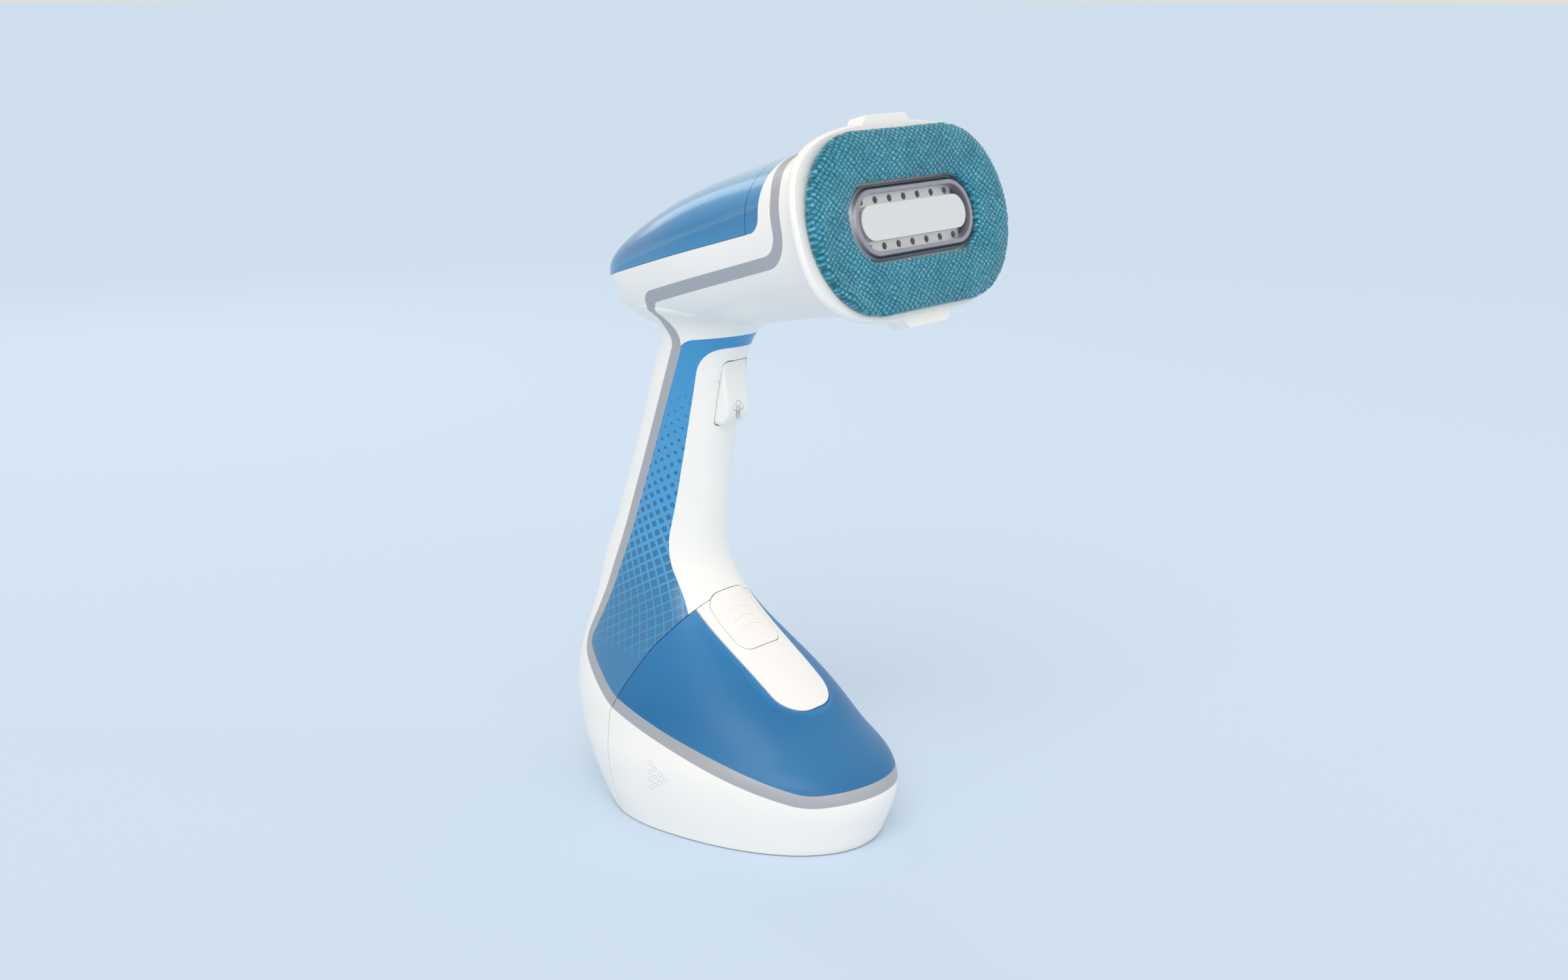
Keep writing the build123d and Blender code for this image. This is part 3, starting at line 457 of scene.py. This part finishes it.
# %% Flat ring with thickness
PAD_LENGTH, PAD_HEIGHT = 141.6 * MM, 78.6 * MM
OPENING_LENGTH, OPENING_HEIGHT = 91.4 * MM, 34.0 * MM
PAD_BACK, PAD_FRONT = -4.85 * MM, 0.55 * MM
OUTLINE_POINTS = 180
outer_loop = slot_outline(PAD_LENGTH, PAD_HEIGHT, OUTLINE_POINTS, PAD_BACK)
inner_loop = slot_outline(OPENING_LENGTH, OPENING_HEIGHT, OUTLINE_POINTS, PAD_BACK)
pad = joined(outer_loop, inner_loop)
pad.name = "microfibre_pad"
bpy.ops.object.mode_set(mode="EDIT")
bpy.ops.mesh.select_all(action="SELECT")
bpy.ops.mesh.bridge_edge_loops(number_cuts=6)
bpy.ops.mesh.select_all(action="SELECT")
bpy.ops.mesh.extrude_region_move(TRANSFORM_OT_translate={"value": (0, 0, PAD_FRONT - PAD_BACK)})
bpy.ops.mesh.select_all(action="SELECT")
bpy.ops.mesh.normals_make_consistent(inside=False)
bpy.ops.object.mode_set(mode="OBJECT")
print("pad ring", len(pad.data.polygons), "faces")

# %% Even mesh
PAD_VOXEL = 1.7 * MM


def apply_modifier(piece, kind, **settings):
    """Add a modifier, set it, and apply it."""
    only(piece)
    modifier = piece.modifiers.new(kind.lower(), kind)
    for key, value in settings.items():
        setattr(modifier, key, value)
    bpy.ops.object.modifier_apply(modifier=modifier.name)
    return piece


apply_modifier(pad, "REMESH", mode="VOXEL", voxel_size=PAD_VOXEL)
apply_modifier(pad, "SMOOTH", factor=0.6, iterations=4)
print("even pad", len(pad.data.vertices), "points")

# %% Swell it as cloth
SWELL_LIMIT = 0.9 * MM
SWELL_FRAMES = 16


def swollen(piece):
    """Run the cloth with pressure, then move each point towards its result by no more than the limit."""
    start = [vertex.co.copy() for vertex in piece.data.vertices]
    only(piece)
    cloth = piece.modifiers.new("cloth", "CLOTH")
    cloth.settings.use_pressure = True
    cloth.settings.uniform_pressure_force = 4.0
    cloth.settings.effector_weights.gravity = 0.0
    cloth.settings.quality = 4
    cloth.point_cache.frame_start, cloth.point_cache.frame_end = 1, SWELL_FRAMES
    for step in range(1, SWELL_FRAMES + 1):
        bpy.context.scene.frame_set(step)
    seen = piece.evaluated_get(bpy.context.evaluated_depsgraph_get())
    ends = [vertex.co.copy() for vertex in seen.data.vertices]
    piece.modifiers.clear()
    bpy.context.scene.frame_set(1)
    for vertex, was, now in zip(piece.data.vertices, start, ends):
        move = now - was
        if move.length > SWELL_LIMIT:
            move *= SWELL_LIMIT / move.length
        vertex.co = was + move
        vertex.co.z = max(vertex.co.z, PAD_BACK)
    return piece


swollen(pad)
print("pad swollen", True, "top", round(max(v.co.z for v in pad.data.vertices) * 1000, 2), "mm")

# %% [markdown]
# ## Loops of the fabric
# Microfibre cloth is rows of soft loops set on a diagonal. Each loop is a small hump; its height varies a
# little from one to the next, and the loops fade out near the back of the pad.

# %% Loops
LOOP_WIDE, LOOP_TALL, LOOP_RISE = 1.75 * MM, 1.35 * MM, 0.42 * MM
apply_modifier(pad, "SUBSURF", levels=2, render_levels=2)
mesh = pad.data
count = len(mesh.vertices)
place = np.zeros(count * 3)
facing = np.zeros(count * 3)
mesh.vertices.foreach_get("co", place)
mesh.vertices.foreach_get("normal", facing)
place, facing = place.reshape(-1, 3), facing.reshape(-1, 3)
wave = np.array([noise.noise(Vector(p) * 160.0) for p in place])
fine = np.array([noise.noise(Vector(p) * 900.0) for p in place])
u = place[:, 0] / LOOP_WIDE + wave * 0.8
v = place[:, 1] / LOOP_TALL + wave * 0.5
hump = np.abs(np.sin(pi * (u + v) / 2) * np.sin(pi * (u - v) / 2)) ** 0.7
shown = np.clip((place[:, 2] - PAD_BACK) / (2.0 * MM), 0, 1)
rise = LOOP_RISE * (hump - 0.45) * (0.8 + 0.5 * fine) + 0.10 * MM * fine
place += facing * (rise * shown)[:, None]
place[:, 2] = np.maximum(place[:, 2], PAD_BACK)
mesh.vertices.foreach_set("co", place.ravel())
# the loop tone is lighter on loop tops and darker between loops, a painted shade, with random tone mixed in
tone = mesh.attributes.new("loop_tone", "FLOAT", "POINT")
tone.data.foreach_set("value", np.clip(hump * 0.8 + fine * 0.35 + 0.1, 0, 1).astype(np.float32))
mesh.transform(HEAD)
mesh.update()
only(pad)
bpy.ops.object.shade_smooth()
print("pad loops", len(mesh.polygons), "faces")

# %% Pad finish
fabric = Finish("teal_microfibre", Roughness=0.85, Sheen_Weight=0.55, Sheen_Roughness=0.4)
loop_tone = fabric.node("Attribute", {"attribute_name": "loop_tone"}, output="Fac")
speckle = fabric.noise(1100.0, 3.0)
patch = fabric.noise(70.0, 2.0)
level = (loop_tone * 0.7 + speckle * 0.45 - 0.12 + (patch - 0.5) * 0.3).clamped()
# dark to pale teal with the loop tone: painted shade between loops and painted light on their tops, plus
# random speckle and patches
fabric.feed(
    Base_Color=fabric.ramp(level, (0.0, linear(6, 50, 70)), (0.4, linear(32, 118, 140)),
                           (0.7, linear(76, 164, 182)), (1.0, linear(168, 222, 230))),
    Normal=fabric.bump(speckle, 0.0002),
)
pad.data.materials.clear()
pad.data.materials.append(fabric.material)
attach(pad, "pad_cover")
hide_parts("steam_pad")
print("pad", pad.name)

# %% [markdown]
# ## Small marks
# A steam sign stands low on the trigger: a small cloud over three stems. Each flank of the base carries a
# triangle of ten small dents, shown by light grey rims, a painted shade that stands for the dents' walls. Both
# are thin shapes that lie on the surface, found by casting a ray at it, so they follow its curve.

# %% Placing things on a surface
def on_surface(name, start, heading):
    """Nearest point of a node's surface from a start along a heading, and the way it faces there."""
    hit, spot, facing, _ = nodes[name].ray_cast(Vector(start), Vector(heading))
    if not hit:
        raise ValueError("nothing to stand on at " + str(start))
    return spot, facing


def placed(piece, spot, facing):
    """Turn a piece's z to face out of the surface, move it there, and put its place into its mesh."""
    turn = facing.to_track_quat("Z", "Y").to_matrix().to_4x4()
    piece.data.transform(Matrix.Translation(spot) @ turn)
    return piece


def in_one_finish(piece, finish, body):
    """Give a small mark its finish, and tie it to the body that it moves with."""
    only(piece)
    bpy.ops.object.shade_smooth()
    piece.data.materials.clear()
    piece.data.materials.append(finish)
    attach(piece, body)


SIGN_START, BACKWARDS = (0.05, 0, 0.200), (-1, 0, 0)
sign_spot, _ = on_surface("trigger", SIGN_START, BACKWARDS)
print("the trigger's face is at", tuple(round(c / MM, 1) for c in sign_spot), "mm")

# %% Steam sign on the trigger
LINE = 0.13 * MM
PUFFS = ((-2.2, 1.2, 1.5), (0.0, 2.6, 1.7), (2.2, 1.2, 1.5), (0.0, 0.6, 1.3))
STEMS = (-1.1, 0.0, 1.1)
STEM_LENGTH, STEM_MIDDLE = 4.0 * MM, -2.6 * MM
sign_parts = []
for side, up, radius in PUFFS:
    bpy.ops.object.select_all(action="DESELECT")
    bpy.ops.mesh.primitive_torus_add(major_radius=radius * MM, minor_radius=LINE, major_segments=28,
                                     minor_segments=6, location=(side * MM, up * MM, 0))
    sign_parts.append(bpy.context.active_object)
for side in STEMS:
    bpy.ops.object.select_all(action="DESELECT")
    bpy.ops.mesh.primitive_cylinder_add(vertices=8, radius=LINE, depth=STEM_LENGTH,
                                        location=(side * MM, STEM_MIDDLE, 0), rotation=(pi / 2, 0, 0))
    sign_parts.append(bpy.context.active_object)
sign = joined(*sign_parts)
bpy.ops.object.transform_apply(location=True, rotation=True, scale=True)
sign.name = "steam_sign"
to_front = Matrix(((0, 0, 1), (1, 0, 0), (0, 1, 0))).to_4x4()
sign.data.transform(Matrix.Translation(sign_spot) @ to_front)
sign_grey = moulded("sign_grey", rgba(150, 152, 156), 0.1, 0.6, 1500.0, 0.00002)
in_one_finish(sign, sign_grey, "trigger_button")
print("steam sign made of", len(sign_parts), "lines")

# %% Dents on the base
DENT_RADIUS, RIM_RADIUS = 1.15 * MM, 0.16 * MM
OUTSIDE = 0.09
DENT_COLUMNS, DENT_STEP_X, DENT_STEP_Z = 4, 3.1 * MM, 4.15 * MM
DENT_X, DENT_Z = -19.0 * MM, 36.7 * MM
dents = []
for flank in (-1, 1):
    for column in range(DENT_COLUMNS):
        for row in range(DENT_COLUMNS - column):
            start = (DENT_X + column * DENT_STEP_X, flank * OUTSIDE,
                     DENT_Z - (row + column / 2) * DENT_STEP_Z)
            spot, facing = on_surface("tank_base_shell", start, (0, -flank, 0))
            bpy.ops.object.select_all(action="DESELECT")
            bpy.ops.mesh.primitive_torus_add(major_radius=DENT_RADIUS, minor_radius=RIM_RADIUS,
                                             major_segments=20, minor_segments=6)
            dents.append(placed(bpy.context.active_object, spot, facing))
dent_rims = joined(*dents)
dent_rims.name = "base_dent_rims"
# painted shade: the rims are light grey in place of the shade on the dents' walls
painted_dent_shade = moulded("dent_rim_painted_shade", rgba(222, 223, 226), 0.05, 0.4, 1500.0, 0.00002)
in_one_finish(dent_rims, painted_dent_shade, "water_tank")
print("dents", len(dents))

# %% [markdown]
# ## Studio
# A pale floor that reaches past the view, an even white surround, a soft key light from the front with a low
# fill below it, and two soft boxes whose reflections run down the gloss.

# %% Floor and lights
bpy.ops.object.select_all(action="DESELECT")
bpy.ops.mesh.primitive_plane_add(size=60.0, location=(0, 0, 0))
floor = bpy.context.active_object
floor.name = "floor"
paint = Finish("pale_floor", Roughness=1.0, Specular_IOR_Level=0.0, Base_Color=rgba(211, 227, 242))
floor.data.materials.append(paint.material)

world = bpy.data.worlds.new("surround")
bpy.context.scene.world = world
world.use_nodes = True
background = world.node_tree.nodes["Background"]
background.inputs["Color"].default_value = (1, 1, 1, 1)
background.inputs["Strength"].default_value = 0.73


def look(thing, at):
    thing.rotation_mode = "QUATERNION"
    thing.rotation_quaternion = (Vector(at) - thing.location).to_track_quat("-Z", "Y")


def light(name, kind, at, energy, towards=(0, 0, 0.18), **settings):
    lamp = bpy.data.lights.new(name, kind)
    lamp.energy = energy
    for key, value in settings.items():
        setattr(lamp, key, value)
    thing = bpy.data.objects.new(name, lamp)
    thing.location = at
    bpy.context.scene.collection.objects.link(thing)
    look(thing, towards)
    return thing


light("key_sun", "SUN", (1.0, -1.9, 2.2), 0.95, angle=radians(40))
light("low_fill", "SUN", (1.6, -0.9, 0.35), 0.32, angle=radians(60), color=(1.0, 0.96, 0.9))
light("left_box", "AREA", (-1.3, 0.5, 1.1), 1.5, shape="RECTANGLE", size=0.4, size_y=1.2)
light("right_box", "AREA", (1.7, 0.9, 0.9), 1.5, shape="RECTANGLE", size=0.2, size_y=1.2)
print("lights ready")

# %% Camera
CAMERA_PLACE = Vector((0.5946, -0.7145, 0.3975))
CAMERA_AIM = Vector((-0.6088, 0.7544, -0.2453))
camera_data = bpy.data.cameras.new("camera")
camera_data.lens = 46.5
camera_data.sensor_width = 36.0
camera = bpy.data.objects.new("camera", camera_data)
bpy.context.scene.collection.objects.link(camera)
camera.location = CAMERA_PLACE
look(camera, camera.location + CAMERA_AIM)
bpy.context.scene.camera = camera
bpy.context.scene.view_settings.view_transform = "Standard"
print("camera at", tuple(camera.location))
